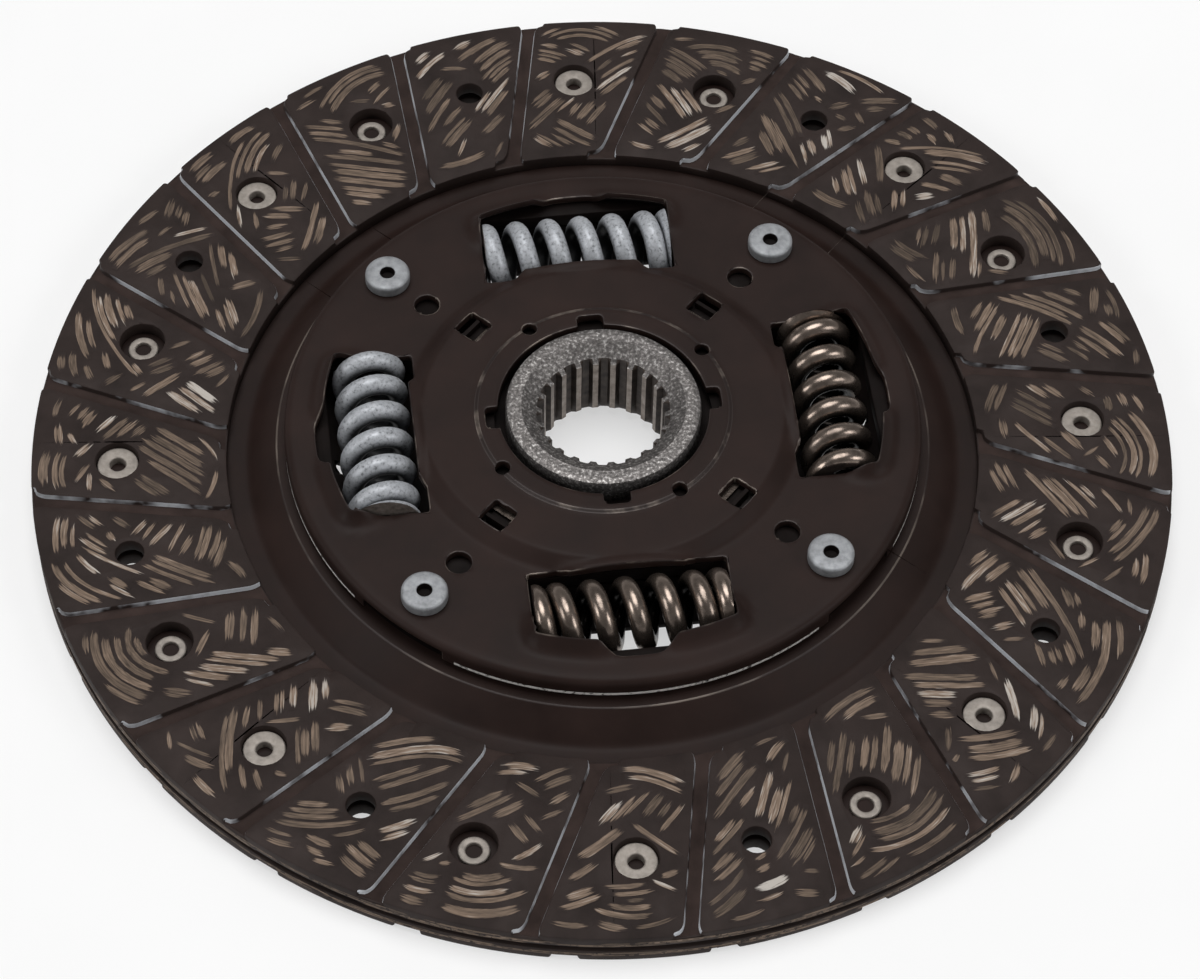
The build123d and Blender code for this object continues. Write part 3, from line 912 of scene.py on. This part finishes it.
class DISC_OT_rivets(bpy.types.Operator):
    """Makes the tubular facing rivets, heads up and heads down"""

    bl_idname = "disc.rivets"
    bl_label = "Facing rivets"

    def execute(self, context):
        material = plated_rivet(context.scene.disc_looks.rivet)
        head_top = STACK_TOP - 1.2
        head_under = head_top - 0.9
        tail_end = PETAL_Z - 0.7
        bore, shank, head, tail = 1.4, SHANK_R - 0.05, 3.6, 2.7
        section = [
            (bore, tail_end, 0.3),
            (tail, tail_end, 0.35),
            (tail, PETAL_Z, 0.1),
            (shank, PETAL_Z, 0.1),
            (shank, head_under, 0.1),
            (head, head_under, 0.1),
            (head, head_top, 0.3),
            (bore, head_top, 0.35),
        ]
        rivet = placed(lathe(rounded(section), 32), Matrix.Translation((HOLE_CIRCLE, 0, 0)))
        heads_up = around(rivet, PETALS, HEAD_ANGLE)
        for name, shape, node in (
            ("rivets_heads_up", heads_up, "upper_facing_rivets"),
            ("rivets_heads_down", turned_over(heads_up), "lower_facing_rivets"),
        ):
            obj = make_object(name, shape)
            smooth(obj, 50)
            coat(obj, material)
            finish_piece(obj, "plates", "rivet", node)
        return {"FINISHED"}


def window_outline(inner, outer):
    """Outline of a spring window on the X axis, from functions that give the reach of its edges."""
    steps = 34
    along = [WINDOW_HALF * (2 * i / steps - 1) for i in range(steps + 1)]
    edge = [(outer(v), v) for v in along] + [(inner(v), v) for v in reversed(along)]
    ends = (0, steps, steps + 1, 2 * steps + 1)
    return rounded([(x, y, 0.5 if i in ends else 0) for i, (x, y) in enumerate(edge)], 2)


def retainer_inner(along):
    """The window's inner edge reaches over the spring, but not at its ends."""
    return WINDOW_IN + INNER_REACH - INNER_BACK * ease(*INNER_EDGE_ENDS, abs(along))


def retainer_outer(along):
    """The window's outer edge is an arc, relieved in the middle."""
    radius = LIP_TIP + LIP_RELIEF * (1 - ease(*LIP_STARTS, abs(along)))
    return math.sqrt(radius**2 - along**2)


def cup_inner(along):
    """The slot under the spring has a straight inner edge."""
    return CUP_IN


def cup_outer(along):
    """The slot's outer edge has a notch in the middle."""
    return CUP_OUT + CUP_NOTCH * (1 - ease(*NOTCH_SIDES, abs(along)))


def window_place(x, y):
    """Place across and along the nearest spring window."""
    turn = math.radians(QUARTER * round(math.degrees(math.atan2(y, x)) / QUARTER))
    return x * math.cos(turn) + y * math.sin(turn), y * math.cos(turn) - x * math.sin(turn)


def raise_lips(obj):
    """Bends the retainer's window edges up, but for a low stretch in the middle of the outer one."""
    root = LIP_TIP + LIP_BEND
    for vert in obj.data.vertices:
        x, y = vert.co.x / MM, vert.co.y / MM
        across, along = window_place(x, y)
        radius, off = math.hypot(x, y), abs(along)
        if SPRING_R < radius < root:
            stretch = ease(*LIP_STARTS, off) * (1 - ease(*LIP_ENDS, off))
            bend = min(1, (root - radius) / (root - LIP_TIP)) ** 1.4
            bend *= ease(LIP_TIP - 5.5, LIP_TIP - 0.8, radius)
            vert.co.z += LIP_RISE * stretch * bend * MM
        if across < SPRING_R:
            edge = ease(WINDOW_IN - INNER_BACK, WINDOW_IN + INNER_REACH, across)
            edge *= 1 - ease(*INNER_LIP_ENDS, off)
            vert.co.z += INNER_LIP_RISE * edge * MM


def cup_windows(obj):
    """Bends the driven plate down round the springs, to a trough about each spring's axis."""
    for vert in obj.data.vertices:
        across, along = window_place(vert.co.x / MM, vert.co.y / MM)
        deep = CUP_DEEP * math.sqrt(max(0, 1 - ((across - SPRING_R) / CUP_WIDE) ** 2))
        drop = max(0, PLATE_TOP - SPRING_Z + deep)
        vert.co.z -= drop * (1 - ease(*CUP_ENDS, abs(along))) * MM


def pin_holes(low, high):
    """Holes for the stop pins, and the locating holes inside them."""
    shapes = [
        prism(circle(PIN_HOLE_R, 24, (PIN_CIRCLE, 0)), low, high),
        prism(circle(LOCATING_HOLE_R, 24, (SPRING_R, 0)), low, high),
    ]
    return around(joined(shapes), SPRINGS, PIN_ANGLE)


class DISC_OT_retainer_plate(bpy.types.Operator):
    """Makes the retainer plate with its dome, rim and lipped windows"""

    bl_idname = "disc.retainer_plate"
    bl_label = "Retainer plate"

    def execute(self, context):
        plate = context.scene.disc_looks.plate
        rim_low = RETAINER_LOW[2]
        torn_top = rim_low + 0.8
        foot = DOME_R + 2.8
        under_dome = DOME_TOP - SHEET_T
        collar, collar_top = CENTRE_R + 3.9, DOME_TOP + 0.3
        section = [
            (foot - 0.5, RETAINER_Z, 1.2),
            (DOME_R - 0.5, under_dome, 1.2),
            (CENTRE_R, under_dome, 0),
            (CENTRE_R, collar_top, 0),
            (collar - 0.3, collar_top, 0),
            (collar, DOME_TOP, 0),
            (DOME_R, DOME_TOP, 0.6),
            (foot, RETAINER_TOP, 0.8),
            (RIM_R, RETAINER_TOP, 1.6),
            (RIM_R, torn_top, 0),
            (RIM_R, rim_low, 0),
            (RIM_R - SHEET_T, rim_low, 0),
            (RIM_R - SHEET_T, RETAINER_Z, 0.6),
        ]
        obj = make_object("retainer_stamping", lathe(divided(rounded(section), 1.1), 224))
        above, below = DOME_TOP + 2 * CUT_OVER, rim_low - CUT_OVER
        half = 2.4
        square = rounded_box(TAB_HOLE_R - half, -half, TAB_HOLE_R + half, half, 0.5, 2)
        vent, vent_angle = circle(1.3, 20, (CENTRE_R + 3.3, 0)), 30
        half = 2.3
        notch = rounded_box(10, -half, CENTRE_R + 2.2, half, 1.0)
        gap = box_outline(LIP_ROOT, -TONGUE_HALF, RIM_R + 4, TONGUE_HALF)
        carve(
            obj,
            around(prism(gap, below, RETAINER_Z + 0.1), SPRINGS, PIN_ANGLE),
            around(prism(window_outline(retainer_inner, retainer_outer), below, above), SPRINGS, 0),
            pin_holes(below, above),
            around(prism(square, below, above), SPRINGS, PIN_ANGLE),
            around(prism(vent, below, above), SPRINGS, vent_angle),
            around(prism(notch, below, above), SPRINGS, 0),
        )
        wear_and_glint = edge_wear_and_glint("edge_wear_and_painted_glint", plate, 7)
        coat(obj, black_phosphate(plate), sheared_edge_painted_glint(), wear_and_glint)
        # All rounded edges take the worn steel with its painted highlight
        soften(obj, context.scene.disc_detail.edge_round, edge_slot=2)
        raise_lips(obj)
        # The lowest strip of the rim beside each window is bare sheared steel with a painted glint
        torn_half = 33.4
        for face in obj.data.polygons:
            x, y, z = (c / MM for c in face.center)
            across, along = window_place(x, y)
            torn = abs(math.degrees(math.atan2(along, across))) < torn_half
            if torn and math.hypot(x, y) > RIM_R - 0.3 and z < torn_top:
                face.material_index = 1
        finish_piece(obj, "plates", "black_steel", "retainer_plate")
        return {"FINISHED"}


class DISC_OT_driven_plate(bpy.types.Operator):
    """Makes the driven plate with its petals, joggle, dish and windows"""

    bl_idname = "disc.driven_plate"
    bl_label = "Driven plate"

    def execute(self, context):
        plate = context.scene.disc_looks.plate
        low, high = PLATE_LOW[2] - CUT_OVER, PLATE_TOP + CUT_OVER
        joggle_out = INNER_R - 4.2
        joggle_in = RIM_R + 1.6
        hole = BARREL_R + 1.7
        petal_r = PLATE_HIGH[0]
        dish, dish_under = PLATE_TOP - PLATE_T, PLATE_TOP - 2 * PLATE_T
        bend = 0.9
        section = [
            (hole, dish_under, 0),
            (DOME_R, dish_under, bend),
            (DOME_R + 1.2, dish, bend),
            (joggle_in - 0.5, dish, bend),
            (joggle_out, PETAL_Z, bend),
            (petal_r, PETAL_Z, 0),
            (petal_r, PETAL_TOP, 0),
            (joggle_out + 0.5, PETAL_TOP, bend),
            (joggle_in, PLATE_TOP, 0.35),
            (DOME_R + 0.7, PLATE_TOP, bend),
            (DOME_R - 0.5, dish, bend),
            (hole, dish, 0),
        ]
        obj = make_object("driven_plate_stamping", lathe(divided(rounded(section), 0.9), 200))
        half = 3
        slot = rounded_box(INNER_R + 1, -half, OUTER_R + 5, half, half)
        carve(
            obj,
            around(prism(slot, low, PETAL_TOP + CUT_OVER), PETALS, SLOT_ANGLE),
            around(prism(window_outline(cup_inner, cup_outer), low, high), SPRINGS, 0),
            pin_holes(low, high),
        )
        soften(obj, context.scene.disc_detail.edge_round)
        cup_windows(obj)
        wear_and_glint = edge_wear_and_glint("bend_wear_and_painted_glint", plate, 30)
        coat(obj, bpy.data.materials["black_phosphated_steel"], wear_and_glint, black_painted_shade(plate))
        for face in obj.data.polygons:
            radius = math.hypot(face.center.x, face.center.y) / MM
            # A thin ring on the crease at the top of the joggle: worn coat with a painted highlight
            if abs(radius - joggle_in) < 0.16 and face.normal.z > 0.3:
                face.material_index = 1
            # Faces under the retainer take the painted shade
            elif radius < RIM_R - 1 and face.normal.z > -0.2:
                face.material_index = 2
        finish_piece(obj, "plates", "black_steel", "driven_plate")
        return {"FINISHED"}


class DISC_OT_stop_pins(bpy.types.Operator):
    """Makes the four stop pins with their set heads"""

    bl_idname = "disc.stop_pins"
    bl_label = "Stop pins"

    def execute(self, context):
        material = zinc_plate(context.scene.disc_looks.zinc)
        top, bottom = PIN_HIGH[2], PIN_LOW[2]
        centre_r, drill_r = 0.03, 1.35
        section = [
            (centre_r, bottom, 0.01),
            (PIN_HEAD_R, bottom, 0.5),
            (PIN_HEAD_R, PLATE_TOP - PLATE_T, 0.2),
            (PIN_NECK_R, PLATE_TOP - PLATE_T, 0.1),
            (PIN_NECK_R, PLATE_TOP, 0.1),
            (PIN_HEAD_R, PLATE_TOP, 0.1),
            (PIN_HEAD_R, RETAINER_Z, 0.1),
            (PIN_NECK_R, RETAINER_Z, 0.1),
            (PIN_NECK_R, RETAINER_TOP, 0.1),
            (PIN_HEAD_R, RETAINER_TOP, 0.3),
            (PIN_HEAD_R, top - 0.05, 0.6),
            (drill_r, top, 0.15),
            (drill_r - 0.15, top - 1.4, 0.1),
            (centre_r, top - 1.6, 0.01),
        ]
        pin = placed(lathe(rounded(section), 40), Matrix.Translation((PIN_CIRCLE, 0, 0)))
        for index in range(SPRINGS):
            turn = Matrix.Rotation(math.radians(PIN_ANGLE + QUARTER * index), 4, "Z")
            obj = make_object(f"pin_{index + 1}", placed(pin, turn))
            smooth(obj, 50)
            coat(obj, material, bpy.data.materials["black_steel_painted_shade"])
            centre = turn @ Vector((PIN_CIRCLE, 0, 0))
            for face in obj.data.polygons:
                x, y, z = (c / MM for c in face.center)
                off = math.hypot(x - centre.x, y - centre.y)
                # The drilled hole in the pin's head is painted in shade
                if z > RETAINER_TOP and off < drill_r - 0.03:
                    face.material_index = 1
            finish_piece(obj, "plates", "zinc_steel", f"stop_pin_{index + 1}")
        return {"FINISHED"}


def coil_shape(first_crest, start, end):
    """A right-hand spring along Y with closed, flat-ground ends, centred on the origin.

    first_crest is the turn at which the wire first passes the top, and start and end the turns
    of the two ends that lie on the next coil. The list tells how far each vertex faces outwards.
    """
    sides, steps_per_turn = 18, 32
    coil_r = (SPRING_D - WIRE_D) / 2
    tip = -0.45 * WIRE_D
    pitch = 1.57 * WIRE_D
    half = SPRING_LENGTH / 2
    active = (SPRING_LENGTH - 2 * tip - (start + end) * WIRE_D) / pitch
    turns = start + active + end
    steps = round(turns * steps_per_turn)
    verts, outward = [], []
    for i in range(steps + 1):
        turn = turns * i / steps
        rise = WIRE_D * (min(turn, start) + max(0, turn - start - active))
        rise += pitch * max(0, min(turn - start, active))
        angle = 2 * math.pi * (turn - first_crest)
        out = Vector((math.sin(angle), 0, math.cos(angle)))
        centre = out * coil_r + Vector((0, tip + rise - half, 0))
        for k in range(sides):
            way = 2 * math.pi * k / sides
            point = centre + (out * math.cos(way) + Vector((0, math.sin(way), 0))) * WIRE_D / 2
            point.y = max(-half, min(half, point.y))
            verts.append(tuple(point))
            outward.append(math.cos(way))
    faces = bands(steps + 1, sides, closed=False)
    faces.append(tuple(range(sides)))
    faces.append(tuple(steps * sides + k for k in reversed(range(sides))))
    return (verts, faces), outward


class DISC_OT_springs(bpy.types.Operator):
    """Makes the two grey-coated and two oiled damper springs"""

    bl_idname = "disc.springs"
    bl_label = "Damper springs"

    def execute(self, context):
        looks = context.scene.disc_looks
        light = grey_coated_wire(looks.light_wire)
        dark = oiled_wire(looks.dark_wire)
        pale_flat = ground_end("ground_spring_end", "#6d635c", "#9a9089")
        # The oiled springs get a much darker ground end than the grey ones
        dark_flat = ground_end("dark_ground_spring_end", "#1f1917", "#3d3530")
        for node, angle, material, flat, crest, start, end in (
            ("dark_spring_1", 0, dark, dark_flat, 0.865, 1.0, 1.13),
            ("light_spring_1", 90, light, pale_flat, 0.27, 1.2, 0.8),
            ("light_spring_2", 180, light, pale_flat, 0.785, 1.0, 1.13),
            ("dark_spring_2", 270, dark, dark_flat, 0.735, 1.6, 1.6),
        ):
            turn = Matrix.Rotation(math.radians(angle), 4, "Z")
            place = turn @ Matrix.Translation((SPRING_R, 0, SPRING_Z))
            coil, outward = coil_shape(crest, start, end)
            obj = make_object(f"{node}_coil", placed(coil, place))
            mark_points(obj.data, "outward", outward)
            smooth(obj, 50)
            coat(obj, material, flat)
            axis = turn @ Vector((0, 1, 0))
            for face in obj.data.polygons:
                off_end = abs(SPRING_LENGTH / 2 * MM - abs(face.center.dot(axis)))
                if off_end < 0.01 * MM and abs(face.normal.dot(axis)) > 0.9:
                    face.material_index = 1
            finish_piece(obj, "springs", node[:-2], node)
            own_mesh(obj)
        return {"FINISHED"}


def spline_radii():
    """Angles and radii of the toothed bore, in order round the axis."""
    major = SPLINE_R + SPLINE_DEPTH
    pitch = 360 / SPLINE_TEETH
    tip = math.degrees(1.05 / SPLINE_R)
    root = math.degrees(0.6 / major)
    middle = (pitch / 2 + tip) / 2
    tooth = [(-pitch / 2, SPLINE_R), (-middle, SPLINE_R), (-tip, SPLINE_R)]
    tooth += [(-root, major), (0, major), (root, major), (tip, SPLINE_R), (middle, SPLINE_R)]
    return [(i * pitch + off, radius) for i in range(SPLINE_TEETH) for off, radius in tooth]


def flange_outline():
    """Outline of the hub flange, with a lobe at each spring and a gap for each pin."""
    flange_r = HUB_HIGH[0]
    root = PIN_CIRCLE - PIN_HEAD_R - 0.7
    lobe = PIN_CIRCLE * math.sin(math.radians(PIN_ANGLE - TWIST)) - PIN_HEAD_R - 0.3
    edge = math.degrees(math.asin(lobe / flange_r))
    foot = math.degrees(math.asin(lobe / root))
    outline = []
    for turn in range(0, SPRINGS * QUARTER, QUARTER):
        outline += arc(flange_r, turn - edge, turn + edge, 16)
        outline += arc(root, turn + foot, turn + QUARTER - foot, 6)
    return outline


class DISC_OT_hub(bpy.types.Operator):
    """Makes the splined hub and its notched flange"""

    bl_idname = "disc.hub"
    bl_label = "Splined hub"

    def execute(self, context):
        top, bottom = HUB_HIGH[2], HUB_LOW[2]
        flange_z, flange_top = SPRING_Z - 1.5, SPRING_Z + 1.5
        lead, lead_depth = SPLINE_R + 3.6, 2.4

        def lead_in(z):
            return lead + (z - top) * (lead - SPLINE_R) / lead_depth

        # Outside of the hub from the top of the bore round to its foot
        outside = [(lead + 0.5, top - 0.05), (lead + 1.0, top), (COLLAR_R - 0.7, top)]
        outside += [(COLLAR_R - 0.2, top - 0.2), (COLLAR_R, top - 0.7), (COLLAR_R, flange_top)]
        outside += [(BARREL_R, flange_z), (BARREL_R, bottom + 0.6), (BARREL_R - 0.6, bottom)]
        inside = [bottom, bottom + 0.8, bottom + 1.6]
        inside += [bottom + 2 + (top - 4.4 - bottom) * i / 6 for i in range(7)]
        inside += [top - lead_depth + lead_depth * i / 8 for i in range(9)]
        sections = []
        for angle, radius in spline_radii():
            bore = [(max(radius, lead_in(z), SPLINE_R + 1.5 - (z - bottom)), z) for z in inside]
            sections.append((math.radians(angle), bore + outside))
        obj = make_object("hub_body", revolved(sections))
        coat(obj, blasted_steel(context.scene.disc_looks.hub), broached_steel(), spline_gap_shade())
        for face in obj.data.polygons:
            radius = math.hypot(face.center.x, face.center.y) / MM
            height = face.center.z / MM
            # Faces deep in the spline gaps take the painted shade, the tooth tips the broached steel
            if lead_in(height) + 0.05 < radius < SPLINE_R + 1.2 and height > bottom + 0.5:
                face.material_index = 2 if radius > SPLINE_R + 0.3 else 1
        smooth(obj, 35)
        flange = make_object("hub_flange", prism(flange_outline(), flange_z, flange_top))
        reach = SPRING_D / 2 + 1.25
        inner, outer = SPRING_R - reach, SPRING_R + reach
        window = rounded_box(inner, -WINDOW_HALF, outer, WINDOW_HALF, 0.8)
        low, high = flange_z - CUT_OVER, flange_top + CUT_OVER
        bore = prism(circle(COLLAR_R - 0.7, 64), low, high)
        carve(flange, around(prism(window, low, high), SPRINGS, 0), bore)
        soften(flange, 0.3 * MM)
        # The flange, seen only through the windows, is painted in shade
        coat(flange, bpy.data.materials["black_steel_painted_shade"])
        finish_piece(obj, "hub", "hub_steel", "splined_hub")
        finish_piece(flange, "hub", "hub_steel")
        return {"FINISHED"}


class DISC_OT_friction_pack(bpy.types.Operator):
    """Gives the friction pieces shut inside the damper their materials"""

    bl_idname = "disc.friction_pack"
    bl_label = "Friction pack"

    def execute(self, context):
        ring = moulded_ring()
        for node, material in (
            ("upper_friction_washer", ring),
            ("lower_friction_washer", ring),
            ("centring_bush", ring),
            # The thrust plate and the disc spring, seen only through the square holes, take dark
            # materials as painted shade
            ("thrust_plate", bpy.data.materials["black_steel_painted_shade"]),
            ("disc_spring", bpy.data.materials["oiled_spring_steel"]),
        ):
            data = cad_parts[node].data
            data.materials.clear()
            data.materials.append(material)
        return {"FINISHED"}


class DISC_OT_stage(bpy.types.Operator):
    """Sets up the camera, the lights and the pale floor"""

    bl_idname = "disc.stage"
    bl_label = "Stage"

    def execute(self, context):
        scene = context.scene
        stage = scene.disc_stage
        back = Vector((0, -math.cos(stage.elevation), math.sin(stage.elevation)))
        right0 = Vector((1, 0, 0))
        up0 = right0.cross(-back)
        right = right0 * math.cos(stage.roll) + up0 * math.sin(stage.roll)
        up = up0 * math.cos(stage.roll) - right0 * math.sin(stage.roll)
        turn = Matrix.Rotation(stage.turn, 4, "Z")
        place = Matrix((right, up, back)).transposed().to_4x4()
        place.translation = Vector(stage.aim) + back * stage.distance
        data = bpy.data.cameras.new("camera")
        data.lens = stage.lens
        data.sensor_width = 36
        data.sensor_fit = "HORIZONTAL"
        data.clip_start = 0.01
        camera = add_object("camera", data)
        camera.matrix_world = turn @ place
        scene.camera = camera
        for name, strength, spread, source in (
            ("key_light", stage.key_strength, 42, (-0.05, 0.2, 1)),
            ("left_fill", stage.fill_strength, 25, (-0.95, -0.35, 0.65)),
            ("right_fill", stage.fill_strength, 25, (0.95, -0.35, 0.65)),
        ):
            lamp = bpy.data.lights.new(name, "SUN")
            lamp.energy = strength
            lamp.angle = math.radians(spread)
            aim = -(turn @ Vector(source))
            add_object(name, lamp).rotation_euler = aim.to_track_quat("-Z", "Y").to_euler()
        half, floor_z = 4000, -0.05
        corners = [(x, y, floor_z) for x, y in box_outline(-half, -half, half, half)]
        floor = make_object("floor", (corners, [(0, 1, 2, 3)]))
        coat(floor, white_table())
        world = bpy.data.worlds.new("studio")
        scene.world = world
        world.use_nodes = True
        tree = world.node_tree
        way = add_node(tree, "TexCoord").outputs["Generated"]
        height = add_node(tree, "SeparateXYZ", {"Vector": way}).outputs["Z"]
        # Bright round the horizon like a pale studio, dim higher up
        stops = tones((1, 1, 1), (0.0, 0.55), (0.3, 0.25), (0.6, 0.16))
        room = add_node(tree, "ValToRGB", {"Fac": height}, stops)
        tree.links.new(room.outputs["Color"], tree.nodes["Background"].inputs["Color"])
        scene.view_settings.view_transform = "Standard"
        return {"FINISHED"}


class DISC_PT_panel(bpy.types.Panel):
    """Lists the pieces in the 3D view's sidebar"""

    bl_idname = "DISC_PT_panel"
    bl_label = "Clutch Disc"
    bl_space_type = "VIEW_3D"
    bl_region_type = "UI"
    bl_category = "Clutch Disc"

    def draw(self, context):
        layout = self.layout
        scene = context.scene
        for settings in (scene.disc_looks, scene.disc_detail, scene.disc_stage):
            for key in settings.__annotations__:
                layout.prop(settings, key)
        for operator in OPERATORS:
            layout.operator(operator.bl_idname)


SETTINGS = (DiscLooks, DiscDetail, DiscStage)
# In this order, because some pieces share a material that an earlier one makes
OPERATORS = (
    DISC_OT_facings,
    DISC_OT_yarn,
    DISC_OT_rivets,
    DISC_OT_retainer_plate,
    DISC_OT_driven_plate,
    DISC_OT_stop_pins,
    DISC_OT_springs,
    DISC_OT_hub,
    DISC_OT_friction_pack,
    DISC_OT_stage,
)


def register():
    for cls in (*SETTINGS, *OPERATORS, DISC_PT_panel):
        bpy.utils.register_class(cls)
    bpy.types.Scene.disc_looks = PointerProperty(type=DiscLooks)
    bpy.types.Scene.disc_detail = PointerProperty(type=DiscDetail)
    bpy.types.Scene.disc_stage = PointerProperty(type=DiscStage)


def unregister():
    del bpy.types.Scene.disc_stage
    del bpy.types.Scene.disc_detail
    del bpy.types.Scene.disc_looks
    for cls in reversed((*SETTINGS, *OPERATORS, DISC_PT_panel)):
        bpy.utils.unregister_class(cls)


def main():
    register()
    bpy.ops.disc.facings()
    bpy.ops.disc.yarn()
    bpy.ops.disc.rivets()
    bpy.ops.disc.retainer_plate()
    bpy.ops.disc.driven_plate()
    bpy.ops.disc.stop_pins()
    bpy.ops.disc.springs()
    bpy.ops.disc.hub()
    bpy.ops.disc.friction_pack()
    bpy.ops.disc.stage()


if __name__ == "__main__":
    main()
